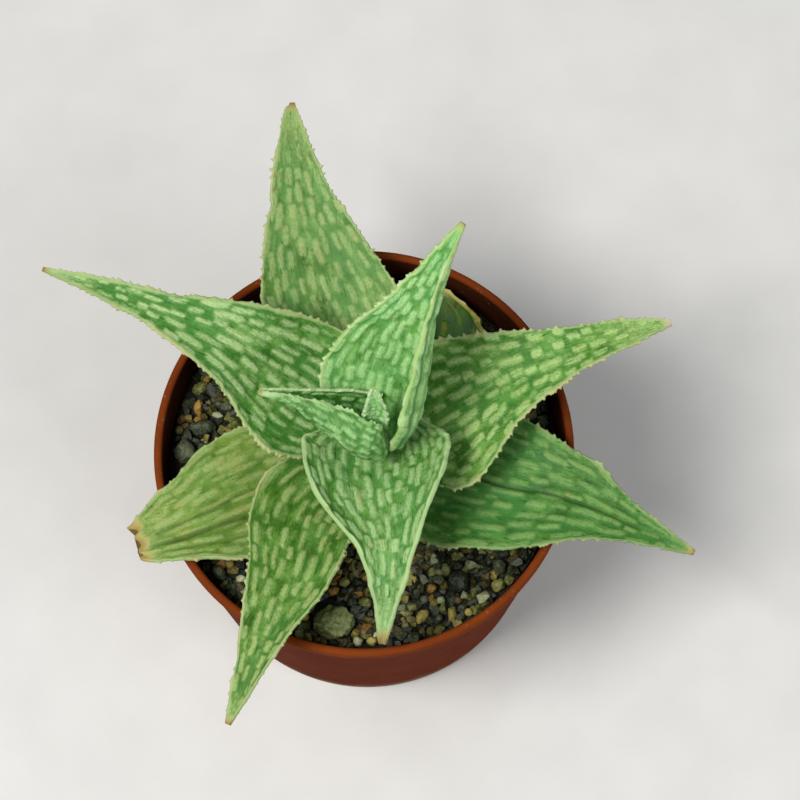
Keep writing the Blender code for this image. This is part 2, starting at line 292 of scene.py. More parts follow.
def plasticMaterial():
    material, tree, shader = startMaterial("terracottaPlastic", Specular_IOR_Level=0.08, IOR=1.07)
    place = addNode(tree, "ShaderNodeTexCoord", {}).outputs["Object"]
    across, behind, height = addNode(tree, "ShaderNodeSeparateXYZ", {0: place}).outputs

    def between(value, ends):
        return easeBetween(tree, value, ends[0] * mm, ends[1] * mm)

    colour = colourRamp(tree, noiseValue(tree, place, 45, 4, 0.6), toneStops(potLook["lip"]))
    # painted shade: the side wall below the lip is coloured a darker red-brown than the lip, for the shade on
    # the wall under the overhead light; near its foot it gets a pale greyish band
    wallShare = times(tree, between(height, potLook["wallFrom"]), potLook["wallShare"])
    colour = colourMix(tree, wallShare, colour, linear(*potLook["wall"]))
    # painted reflection: a pale greyish band near the foot, broken up by noise, for light caught on the
    # curved lower edge
    lime = noiseValue(tree, place, 130, 5, 0.65, (1, 1, 0.7))
    lime = plus(tree, between(height, potLook["limeFrom"]), times(tree, lime, 0.8))
    limeShare = times(tree, easeBetween(tree, lime, 0.75, 1.5), potLook["limeShare"])
    colour = colourMix(tree, limeShare, colour, linear(*potLook["lime"]))
    # painted shade: the inside wall is darkened up to the lip's crest, for the shade inside the pot
    reach = rootOf(tree, plus(tree, times(tree, across, across), times(tree, behind, behind)))
    slope = (pot["rimRadius"] - pot["lipProud"] - pot["baseRadius"]) / pot["height"]
    depth = minus(tree, reach, plus(tree, times(tree, height, slope), pot["baseRadius"] * mm))
    stain = times(tree, between(depth, potLook["stainDepth"]), between(height, potLook["stainTop"]))
    colour = colourMix(tree, times(tree, stain, potLook["stainShare"]), colour, linear(*potLook["stain"]))
    dust = easeBetween(tree, noiseValue(tree, place, 900, 3, 0.7), 0.62, 0.76)
    colour = colourMix(tree, times(tree, dust, potLook["dustShare"]), colour, linear(*potLook["dust"]))
    tree.links.new(colour, shader.inputs["Base Color"])
    rough = plus(tree, times(tree, noiseValue(tree, place, 220, 4), 0.22), 0.42)
    tree.links.new(rough, shader.inputs["Roughness"])
    ringInputs = {"Vector": place, "Scale": 190, "Distortion": 0.6, "Detail": 1.0}
    rings = addNode(tree, "ShaderNodeTexWave", ringInputs, wave_type="BANDS", bands_direction="Z").outputs[1]
    turned = bumpInto(tree, shader, rings, 0.03 * mm, 0.5)
    bumpInto(tree, shader, noiseValue(tree, place, 1400, 2), 0.04 * mm, 0.4, turned)
    return material


def potProfile():
    # from the middle of the floor up the inside, over the lip and down the outside
    crest = (pot["wall"] + pot["lipProud"]) / 2
    lipBottom = pot["height"] - pot["lipHeight"]
    bend, inside = pot["floorRound"], pot["floor"] + pot["floorRound"]
    profile = [(0, pot["floor"]), (wallRadius(pot["floor"]) - pot["wall"] - bend, pot["floor"])]
    profile += arcPoints(wallRadius(inside) - pot["wall"] - bend, inside, bend, -90, 0, 4)[1:]
    for share in pot["insideShares"]:
        level = inside + (lipBottom - inside) * share
        profile.append((wallRadius(level) - pot["wall"], level))
    profile += arcPoints(pot["rimRadius"] - crest, pot["height"] - crest, crest, 180, 0, 12)
    # the lip's lower corner is rounded and ends on the wall
    profile += [(pot["rimRadius"] - deep, lipBottom + up) for deep, up in pot["lipFoot"]]
    profile.append((wallRadius(lipBottom) + 0.04, lipBottom - 0.06))
    for share in pot["outsideShares"]:
        level = pot["baseRound"] + (lipBottom - pot["baseRound"]) * share
        profile.append((wallRadius(level), level))
    corner = pot["baseRound"]
    profile += arcPoints(wallRadius(corner) - corner, corner, corner, 0, -90, 7)
    return profile + [*pot["foot"], (0, pot["foot"][-1][1])]   # the underside stands on a ring


def drillHoles(body):
    drills = bmesh.new()
    for i in range(pot["holes"]):
        angle = math.tau * (i + pot["holeTurn"]) / pot["holes"]
        centre = Vector((math.cos(angle), math.sin(angle), 0)) * pot["holeRing"] * mm
        bmesh.ops.create_cone(drills, cap_ends=True, segments=40, radius1=pot["holeRadius"] * mm,
                              radius2=pot["holeRadius"] * mm, depth=pot["drillLength"] * mm,
                              matrix=Matrix.Translation(centre))
    drill = bpy.data.objects.new("drill", meshFrom(drills, "drill"))
    bpy.context.scene.collection.objects.link(drill)
    cut = body.modifiers.new("holes", "BOOLEAN")
    cut.operation = "DIFFERENCE"
    cut.object = drill
    graph = bpy.context.evaluated_depsgraph_get()
    mesh = bpy.data.meshes.new_from_object(body.evaluated_get(graph))
    bpy.data.objects.remove(drill, do_unlink=True)
    return mesh


def makePot():
    bm = bmesh.new()
    spinProfile(bm, potProfile(), pot["steps"])
    body = bpy.data.objects.new("potBody", meshFrom(bm, "potBody"))
    bpy.context.scene.collection.objects.link(body)
    mesh = drillHoles(body)
    bpy.data.objects.remove(body, do_unlink=True)
    mesh.shade_smooth()
    mesh.set_sharp_from_angle(angle=math.radians(pot["crease"]))
    finishPiece("potWall", mesh, plasticMaterial(), "pot", "pot")


makePot()
print("pot made")


# lengths in mm. edge: thickness at the margins. crown: level of the inner leaves' heights.
plant = dict(x=2.5, y=-0.5, stemRadius=4.0, gap=0.3, leafThickness=4.0, edge=0.5, soilLevel=62.0, crown=81.5,
             rowStep=0.3, upperColumns=96, lowerColumns=56, edgeBulge=0.12, crease=60)

# how much single marks and teeth differ. smallest: their size at the tip, which grows with the leaf's width.
markRule = dict(tries=2600, second=0.7, fromEdge=0.5, bareWide=2.6, smallest=0.45, growth=12,
                long=(0.6, 1.35), wide=(0.8, 1.25), strength=(0.7, 1.1), bend=0.2)
toothRule = dict(first=(2, 4), toEnd=0.6, smallest=0.35, growth=6, tall=(0.12, 1.2), back=(0.5, 0.95),
                 front=(0.2, 0.45), apart=(0.4, 1.8), reach=0.9)

# Lengths in mm, angles in degrees, colours 0 to 255.
# Shape. above: the level that the path's heights count from. onStem: height where the leaf leaves the stem.
# half: half widths from base to tip. near: share of that on the left side. curl: bend of each side.
# thick: share of leafThickness. face: the way the upper side looks.
# Marks. streak: width, length and spacings. faint: strength of the second sowing. contrast and relief:
# strength of their colour and height. bare: how empty the middle is. paleTip: length of the pale end.
# Margin. rim: width and height of the bead. teeth: spacing and height. sides: their share on each side.
# wave and ragged: unevenness upwards and outwards. endCut: depth of the torn end.
# Creases. Place across, depth and width of each, and backCrease the same for the underside.
# Colours. green: dark, middle and light. blue: share of bluer patches. pale: cool and warm marks.
# margin: pale and tan. dryTip: length of the dry end. dryTone: light and dark of it. warm: share of yellow.
leafDefaults = dict(
    above="rim", onStem=None, near=1.0, face=(0, 0, 1), faint=0.5, contrast=0.9, bare=0.0, relief=0.2,
    paleTip=7.0, sides=(1, 1), ragged=1.0, endCut=0, creases=(), backCrease=None, blue=0.5,
    margin=((162, 186, 120), (160, 148, 90)), tooth=(184, 186, 128),
    dryTone=((170, 166, 100), (134, 110, 62)),
)

leaves = {
    "leaf_west_low": dict(
        onStem=-4.0, half=(6.5, 13.5, 13.5, 9.0, 5.5, 3.6), curl=(16, 16), thick=1.0,
        path=((-12, -4.4, -1.8), (-27.7, -12.1, 1.4), (-37.4, -17.1, 3.6), (-45.2, -21.0, 4.8),
              (-48.6, -22.3, 5.0)),
        streak=(1.4, 8.0, 1.8, 0.9), faint=0.7, contrast=0.75, bare=0.1,
        rim=(0.5, 0.12), teeth=(1.9, 0.45), wave=0.35, endCut=1.8,
        creases=((-0.3, 0.5, 0.7), (0.05, 0.35, 0.5), (-0.62, 0.3, 0.5)),
        green=((84, 120, 36), (110, 142, 54), (132, 160, 72)), pale=((168, 188, 120), (178, 176, 112)),
        dryTip=4.5, dryTone=((178, 172, 104), (158, 134, 76)), warm=0.55,
    ),
    "leaf_southeast": dict(
        onStem=-3.5, half=(6.0, 16.0, 14.8, 9.8, 4.2, 0.4), curl=(20, 14), thick=1.0,
        path=((16.2, -4.6, -0.8), (30.6, -9.0, 2.8), (44.0, -12.6, 5.0), (56.2, -18.1, 5.5),
              (69.9, -23.8, 4.0)),
        streak=(1.4, 6.0, 2.0, 0.95), faint=0.6, contrast=0.82, bare=0.35, paleTip=10.0,
        rim=(0.5, 0.1), teeth=(1.6, 0.7), wave=0.35, creases=((0.0, 0.45, 0.55),),
        green=((44, 92, 28), (68, 119, 44), (94, 142, 64)), blue=0.7, pale=((128, 164, 94), (140, 156, 88)),
        margin=((136, 160, 100), (146, 142, 74)), tooth=(156, 172, 116), dryTip=3.5, warm=0.35,
    ),
    "leaf_withered": dict(
        above="soil", onStem=4.0, half=(3.0, 10.2, 15.3, 16.5, 8.9, 0.5), near=0.72, curl=(12, 12),
        thick=0.45,
        path=((5.5, 12.6, 4.0), (8.6, 23.0, 4.4), (10.8, 31.0, 5.4), (11.8, 36.0, 6.6), (12.3, 39.6, 7.4)),
        streak=(1.3, 5.0, 2.8, 1.1), bare=0.3,
        rim=(1.5, 0.3), teeth=(3.4, 0.9), wave=1.3, ragged=2.6, creases=((0.2, 0.4, 0.8), (-0.4, 0.35, 0.7)),
        green=((22, 52, 6), (38, 76, 10), (58, 94, 22)), pale=((84, 116, 34), (104, 112, 36)),
        margin=((172, 166, 84), (158, 138, 66)), dryTip=5.0, warm=0.8,
    ),
    "leaf_north": dict(
        onStem=0.8, half=(6.5, 14.0, 13.6, 6.6, 2.5, 0.4), curl=(16, 16), thick=1.0,
        path=((-2.6, 18.8, 3.5), (-9.0, 34.8, 7.0), (-13.6, 53.8, 10.0), (-15.8, 69.1, 11.0),
              (-15.8, 75.6, 10.5)),
        streak=(1.4, 5.0, 1.8, 0.95), contrast=0.68, bare=0.1, paleTip=18.0,
        rim=(0.45, 0.12), teeth=(1.2, 0.8), wave=0.35,
        green=((66, 106, 38), (94, 136, 58), (124, 162, 86)), blue=0.6,
        pale=((172, 194, 128), (182, 186, 120)),
        dryTip=3.5, warm=0.5,
    ),
    "leaf_southwest": dict(
        onStem=1.8, half=(6.5, 11.8, 9.2, 5.2, 2.2, 0.4), curl=(34, 22), thick=1.0,
        path=((-11.0, -15.0, 6.5), (-15.2, -29.5, 10.0), (-20.0, -41.7, 11.0), (-24.7, -53.6, 10.0),
              (-27.8, -61.1, 8.0)),
        streak=(1.35, 4.6, 1.95, 0.95), contrast=0.85, bare=0.25, paleTip=8.0,
        rim=(0.45, 0.2), teeth=(1.6, 0.55), wave=0.3,
        green=((48, 94, 18), (74, 120, 36), (106, 148, 62)), pale=((164, 188, 118), (174, 180, 112)),
        dryTip=3.0, warm=0.5,
    ),
    "leaf_west": dict(
        onStem=7.4, half=(7.0, 15.4, 9.7, 4.6, 2.1, 0.35), curl=(24, 18), thick=1.0,
        path=((-12.5, 8.9, 12.0), (-26.8, 17.3, 19.0), (-40.7, 23.1, 22.0), (-54.9, 29.0, 22.0),
              (-67.8, 33.9, 20.0)),
        streak=(1.4, 5.2, 1.85, 0.95), bare=0.3, paleTip=15.0,
        rim=(0.75, 0.2), teeth=(1.3, 0.75), wave=0.3,
        green=((48, 104, 24), (74, 128, 42), (108, 156, 74)), blue=0.65,
        pale=((182, 210, 146), (186, 200, 134)),
        dryTip=3.0, warm=0.25,
    ),
    "leaf_east": dict(
        onStem=6.2, half=(8.5, 17.2, 10.4, 5.4, 3.0, 0.5), curl=(22, 20), thick=1.0,
        path=((15.5, 4.6, 9.4), (28.5, 10.9, 14.8), (42.5, 15.6, 19.2), (54.6, 19.3, 20.5),
              (64.8, 22.0, 20.0)),
        streak=(1.7, 4.4, 2.1, 0.95), bare=0.2, paleTip=18.0,
        rim=(0.4, 0.1), teeth=(1.2, 0.85), wave=0.3,
        green=((48, 98, 22), (78, 130, 42), (110, 158, 68)), pale=((176, 206, 130), (182, 196, 118)),
        dryTip=3.0, dryTone=((190, 184, 138), (186, 180, 156)), warm=0.35,
    ),
    "leaf_south": dict(
        above="crown", half=(9.5, 16.0, 15.5, 7.4, 3.3, 0.5), curl=(50, 46), thick=0.8,
        path=((2.6, 2.6, 4.1), (2.9, -3.8, 4.5), (3.2, -13.8, 9.0), (4.8, -25.1, 11.0), (5.0, -34.6, 7.5),
              (4.0, -44.1, -2.5)),
        streak=(1.5, 4.6, 1.6, 0.95), faint=0.55, relief=0.36, paleTip=20.0,
        rim=(0.8, 0.3), teeth=(2.2, 0.12), wave=0.2,
        green=((58, 108, 30), (84, 134, 52), (116, 162, 82)), blue=0.75,
        pale=((170, 204, 142), (178, 192, 132)),
        margin=((172, 202, 138), (166, 178, 114)), tooth=(172, 202, 138), dryTip=6.0, warm=0.4,
    ),
    "leaf_inner_north": dict(
        above="crown", half=(8.0, 15.0, 13.2, 7.0, 3.2, 0.4), curl=(30, 130), thick=0.5,
        face=(-0.35, -0.75, 0.6),
        path=((5.0, -1.0, 8.3), (6.2, 5.0, 16.5), (8.5, 10.5, 26.5), (11.8, 16.5, 36.5), (15.8, 22.8, 45.0),
              (20.2, 29.3, 51.5)),
        streak=(1.5, 5.6, 1.65, 0.95), faint=0.6, relief=0.36,
        rim=(0.6, 0.2), teeth=(1.2, 0.65), sides=(1.0, 0.25), wave=0.1, backCrease=(0.84, 0.4, 0.5),
        green=((76, 136, 48), (104, 162, 76), (134, 188, 104)), blue=0.8,
        pale=((182, 226, 156), (188, 216, 148)),
        margin=((176, 206, 130), (170, 190, 112)), tooth=(196, 220, 164), dryTip=3.0,
        dryTone=((176, 200, 126), (170, 176, 106)), warm=0.1,
    ),
    "leaf_inner_west": dict(
        above="crown", half=(3.4, 13.8, 10.6, 3.4, 0.4), near=0.76, curl=(140, 130), thick=0.35,
        face=(0.3, 0.8, 0.8),
        path=((3.9, -6.7, 10.9), (-1.3, -5.9, 14.0), (-7.1, -2.9, 18.5), (-13.3, 0.1, 25.0),
              (-20.7, 0.8, 30.5)),
        streak=(1.25, 3.6, 1.4, 0.95), faint=0.65, relief=0.4, paleTip=9.0,
        rim=(0.4, 0.08), teeth=(1.0, 0.7), wave=0.05,
        green=((26, 84, 6), (66, 124, 36), (104, 158, 74)), blue=0.8, pale=((168, 216, 142), (178, 208, 138)),
        margin=((186, 218, 154), (178, 196, 130)), tooth=(196, 220, 164), dryTip=0.8,
        dryTone=((176, 200, 126), (170, 176, 106)), warm=0.15,
    ),
    "leaf_bud": dict(
        above="crown", half=(1.4, 2.6, 2.5, 1.4, 0.25), curl=(50, 50), thick=0.3, face=(0.0, -1.0, 0.35),
        path=((2.5, -2.3, 13.8), (2.6, -1.6, 17.2), (2.7, -0.2, 21.0), (2.6, 0.7, 26.0), (2.5, 1.7, 30.5)),
        streak=(1.9, 2.4, 1.4, 0.9), faint=0.9, relief=0.4,
        rim=(0.3, 0.03), teeth=(1.3, 0.75), wave=0.0,
        green=((70, 134, 48), (108, 168, 84), (142, 196, 116)), blue=0.8,
        pale=((184, 230, 162), (190, 220, 152)),
        margin=((204, 234, 180), (196, 222, 164)), tooth=(196, 220, 164), dryTip=0.5,
        dryTone=((176, 200, 126), (170, 176, 106)), warm=0.1,
    ),
}


def throughPoints(values, amounts):
    # smooth curve through evenly spaced values
    values = np.asarray(values, float).reshape(len(values), -1)
    place = amounts * (len(values) - 1)
    i = np.minimum(place.astype(int), len(values) - 2)
    t = (place - i)[:, None]
    padded = np.vstack([values[0] * 2 - values[1], values, values[-1] * 2 - values[-2]])
    before, start, end, after = (padded[i + k] for k in range(4))
    return 0.5 * (2 * start + (end - before) * t + (2 * before - 5 * start + 4 * end - after) * t ** 2
                  + (3 * start - before - 3 * end + after) * t ** 3)


def unit(vectors):
    return vectors / np.linalg.norm(vectors, axis=-1, keepdims=True)


def wander(seed, places, size):
    # a slow random curve between -1 and 1
    return np.array([noise.noise(Vector((place / size, seed * 3.7, 0.3))) for place in places]) * 1.6


def leafDatum(leaf):
    return {"soil": plant["soilLevel"], "crown": plant["crown"], "rim": pot["height"]}[leaf["above"]]


def leafRows(leaf):
    datum = leafDatum(leaf)
    path = [np.array((x, y, datum + z)) for x, y, z in leaf["path"]]
    if leaf["onStem"] is not None:
        axis = np.array((plant["x"], plant["y"], 0.0))
        outward = (path[0] - axis) * (1, 1, 0)
        outward /= np.linalg.norm(outward)
        path.insert(0, axis + (0, 0, datum + leaf["onStem"]) + outward * (plant["stemRadius"] + plant["gap"]))
    fine = np.linspace(0, 1, 500)
    line = throughPoints(path, fine)
    lengths = np.concatenate(([0], np.cumsum(np.linalg.norm(np.diff(line, axis=0), axis=1))))
    along = np.linspace(0, lengths[-1] - 0.35, int(lengths[-1] / plant["rowStep"]))
    amount = np.interp(along, lengths, fine)
    centre = throughPoints(path, amount)
    before, after = np.maximum(amount - 0.02, 0), np.minimum(amount + 0.02, 1)
    ahead = unit(throughPoints(path, after) - throughPoints(path, before))
    face = np.array(leaf["face"], float)
    normal = unit(face - ahead * (ahead @ face)[:, None])
    right = np.cross(ahead, normal)
    half = np.maximum(throughPoints(leaf["half"], amount)[:, 0], leaf["half"][-1])
    body = plant["edge"] + (plant["leafThickness"] * leaf["thick"] - plant["edge"]) * (1 - amount ** 1.6)
    return along, amount, centre, ahead, normal, right, half, np.minimum(body, half * 1.2)


def layMarks(leaf, along, half, across, chance):
    # pale marks in loose rows along the leaf: strong ones first, then small faint ones between them
    width, length, besides, apart = leaf["streak"]
    field = np.zeros((len(along), len(across)))
    kept = np.empty((0, 3))
    for share, faint in ((1.0, 1.0), (markRule["second"], leaf["faint"])):
        for _ in range(markRule["tries"]):
            u = chance.uniform(-1, 1)
            place = chance.uniform(0, along[-1])
            wide = np.interp(place, along, half)
            bare = leaf["bare"] * math.exp(-(u * wide / markRule["bareWide"]) ** 2)
            if abs(u) * wide > wide - markRule["fromEdge"] or chance.random() < bare:
                continue
            small = share * min(1, markRule["smallest"] + wide / markRule["growth"])
            long = 0.5 * length * small * chance.uniform(*markRule["long"])
            if len(kept):
                sideGap = np.abs(kept[:, 0] - u) * wide / (besides * (0.4 + 0.6 * small))
                runGap = np.abs(kept[:, 1] - place) / ((kept[:, 2] + long) * apart)
                if (sideGap ** 3 + runGap ** 3).min() < 1:
                    continue
            kept = np.vstack([kept, (u, place, long)])
            thin = 0.5 * width * small * chance.uniform(*markRule["wide"])
            strength = faint * chance.uniform(*markRule["strength"])
            low, high = np.searchsorted(along, (place - long * 1.1, place + long * 1.1))
            if high - low < 2:
                continue
            off = (along[low:high, None] - place) / long
            bend = chance.uniform(-markRule["bend"], markRule["bend"]) * width * off ** 2
            bend = bend + 0.06 * np.sin(off * chance.uniform(2, 6) + u * 9)
            side = ((across[None, :] - u) * half[low:high, None] + bend) / thin
            mark = strength * np.minimum(1.2 * np.exp(-np.abs(side) ** 2.2 - np.abs(off) ** 6), 1)
            field[low:high] = np.maximum(field[low:high], mark)
    return field


def layTeeth(leaf, along, half, chance):
    # small teeth that point to the tip
    spacing, tall = leaf["teeth"]
    push = np.zeros(len(along))
    place = chance.uniform(*toothRule["first"])
    while place < along[-1] - toothRule["toEnd"]:
        small = min(1, toothRule["smallest"] + np.interp(place, along, half) / toothRule["growth"])
        height = tall * chance.uniform(*toothRule["tall"]) * small
        back, front = chance.uniform(*toothRule["back"]), chance.uniform(*toothRule["front"])
        off = along - place
        rise = np.where(off < 0, 1 + off / back, 1 - off / front)
        push = np.maximum(push, height * np.clip(rise, 0, 1) ** 1.25)
        place += spacing * chance.uniform(*toothRule["apart"])
    return push


def columnPlaces(start, end, steps):
    # places across the leaf, closer together at the margins
    t = np.linspace(start, end, steps + 1)
    return t * 1.25 - 0.25 * t ** 3


def bySide(values, side):
    return np.stack(values, 1)[:, side]


def leafSection(leaf, across, centre, half, normal, right):
    # the cross-section is a shallow arc with its own bend on each side
    full = np.radians(np.array(leaf["curl"], float))[np.where(across < 0, 0, 1)]
    angle = full * np.abs(across)
    sign = np.sign(across)
    wide = half[:, None] * np.where(across < 0, leaf["near"], 1.0)[None, :]
    sideways = wide * np.sin(angle) / full * sign
    upward = wide * (1 - np.cos(angle)) / full
    n, r = normal[:, None, :], right[:, None, :]
    arc = centre[:, None, :] + r * sideways[..., None] + n * upward[..., None]
    outward = n * np.cos(angle)[None, :, None] - r * (sign * np.sin(angle))[None, :, None]
    tangent = r * (sign * np.cos(angle))[None, :, None] + n * np.sin(angle)[None, :, None]
    return wide, arc, outward, tangent


def layCreases(leaf, seed, along, amount, across, wide, below, calm):
    grooves = np.zeros_like(wide)
    for u, deep, broad in leaf["creases"]:
        drift = u + 0.04 * wander(seed + u * 10, along, 9.0)
        away = (across[None, :] - drift[:, None]) * wide / broad
        fade = np.clip(np.minimum(amount * 3, (1 - amount) * 3), 0, 1)[:, None]
        grooves = np.maximum(grooves, deep * np.exp(-away ** 2) * fade)
    if leaf["backCrease"]:
        u, deep, broad = leaf["backCrease"]
        away = (across[None, :] - u - 0.02 * wander(seed + 41, along, 9.0)[:, None]) * wide / broad
        grooves = np.where(below > 0.7, deep * np.exp(-away ** 2), grooves) * calm
    return grooves


def leafSurface(leaf, seed):
    # places of a grid that wraps round the leaf, and what the material reads there
    chance = random.Random(seed)
    along, amount, centre, ahead, normal, right, half, body = leafRows(leaf)
    upper = columnPlaces(-1, 1, plant["upperColumns"])
    lower = columnPlaces(1, -1, plant["lowerColumns"])
    across = np.concatenate(([-1], upper, [1], lower, [-1]))
    below = np.concatenate(([0.5], upper * 0, [0.5], lower * 0 + 1, [0.5]))   # 0 on top, 1 underneath
    marks = layMarks(leaf, along, half, upper, chance)
    under = layMarks(leaf, along, half, lower, chance)
    zero = np.zeros((len(along), 1))
    streak = np.hstack([zero, marks, zero, under, zero])
    wide, arc, outward, tangent = leafSection(leaf, across, centre, half, normal, right)

    # teeth and uneven margins
    side = np.where(across < 0, 0, 1)
    fromRim = (1 - np.abs(across))[None, :] * wide
    calm = np.minimum(1, wide / 4)
    teeth = bySide([layTeeth(leaf, along, half, chance) * share for share in leaf["sides"]], side)
    ragged = bySide([wander(seed + k, along, 5.0) * 0.45 + wander(seed + k + 9, along, 1.7) * 0.14
                     for k in range(2)], side) * leaf["ragged"]
    toothShare = np.clip(1 - fromRim / toothRule["reach"], 0, 1) ** 1.5
    push = teeth * toothShare + ragged * calm * np.abs(across)[None, :] ** 3
    bulge = np.where(below == 0.5, plant["edgeBulge"], 0) * calm

    # thickness, beaded margin, waves, creases and raised marks
    rimWidth, rimRise = leaf["rim"]
    bead = rimRise * np.exp(-((fromRim - rimWidth * 0.45) / (rimWidth * 0.5)) ** 2) * calm
    swell = bySide([wander(seed + 20 + k, along, 11.0) for k in range(2)], side)
    lift = leaf["wave"] * swell * np.abs(across)[None, :] ** 1.5 * calm
    grooves = layCreases(leaf, seed, along, amount, across, wide, below, calm)
    raised = np.clip(streak, 0, 1) * leaf["relief"] * calm
    depth = plant["edge"] + (body[:, None] - plant["edge"]) * (1 - across[None, :] ** 2)
    depth = np.minimum(depth, body[:, None])
    height = lift + np.where(below < 0.5, bead + raised - grooves, 0) - below * depth
    height -= np.where(below > 0.7, raised - grooves, 0)
    places = arc + outward * height[..., None] + tangent * (push + bulge)[..., None]
    if leaf["endCut"]:
        # the dried end is torn off unevenly
        near = np.clip((along - along[-1] + 5) / 5, 0, 1)[:, None]
        torn = np.array([noise.noise(Vector((u * 2.6, 5.2, 0.7))) for u in across])[None, :]
        places = places - ahead[:, None, :] * (near * (leaf["endCut"] * (0.5 + torn * 1.3)))[..., None]

    toTip = np.clip(1 - (along[-1] - along) / leaf["paleTip"], 0, 1)[:, None]
    dry = np.clip(1 - (along[-1] - along) / leaf["dryTip"], 0, 1)[:, None]
    full = np.ones_like(wide)
    leafPlaces = np.stack([across * wide, along[:, None] * full, (seed * 20 + below * 7) * full], 2)
    values = dict(streak=np.maximum(streak, 0.85 * toTip ** 0.7 * (below != 0.5)),
                  fromRim=fromRim - push * (fromRim < toothRule["reach"]),
                  dry=dry * full, under=below * full, groove=grooves)
    return places * mm, leafPlaces, values


def makeLeafMesh(name, leaf, seed):
    places, leafPlaces, values = leafSurface(leaf, seed)
    bm = bmesh.new()
    rows, columns = (count - 1 for count in places.shape[:2])
    bmesh.ops.create_grid(bm, x_segments=columns, y_segments=rows, size=1.0)
    placeLayer = bm.verts.layers.float_vector.new("leafPlace")
    layers = {key: bm.verts.layers.float.new(key) for key in values}
    for vert in bm.verts:
        spot = round((vert.co.y + 1) / 2 * rows), round((vert.co.x + 1) / 2 * columns)
        vert.co = places[spot]
        vert[placeLayer] = tuple(leafPlaces[spot])
        for key, layer in layers.items():
            vert[layer] = values[key][spot]
    bmesh.ops.remove_doubles(bm, verts=bm.verts, dist=0.004 * mm)
    ends = [edge for edge in bm.edges if edge.is_boundary]
    bmesh.ops.holes_fill(bm, edges=ends, sides=0)
    bmesh.ops.recalc_face_normals(bm, faces=bm.faces)
    return meshFrom(bm, name, plant["crease"])


# noises over the leaf's own places in mm: scale, detail, roughness and stretch
leafNoise = dict(
    mottle=(0.5, 4, 0.65, (1.0, 0.5, 1.0)), fine=(2.2, 4, 0.7, (1.0, 0.6, 1.0)),
    fibre=(1.6, 3, 0.6, (1.6, 0.16, 1.0)), blotch=(0.11, 3, 0.5, (1.0, 0.6, 1.0)),
    patch=(0.28, 3, 0.55, (1.2, 0.6, 1.0)), warmth=(0.35, 3), tan=(0.42, 4, 0.6), pores=(6.0, 2, 0.6),
)

leafTones = dict(
    deep=0.45, blue=(0.72, 1.0, 1.3), under=(120, 156, 98), underShare=0.25, rimShare=0.85, toothShare=0.9,
    scar=(124, 108, 60), scarShare=0.45, scarScale=0.15, scarStretch=(1.0, 0.6, 1.0),
)


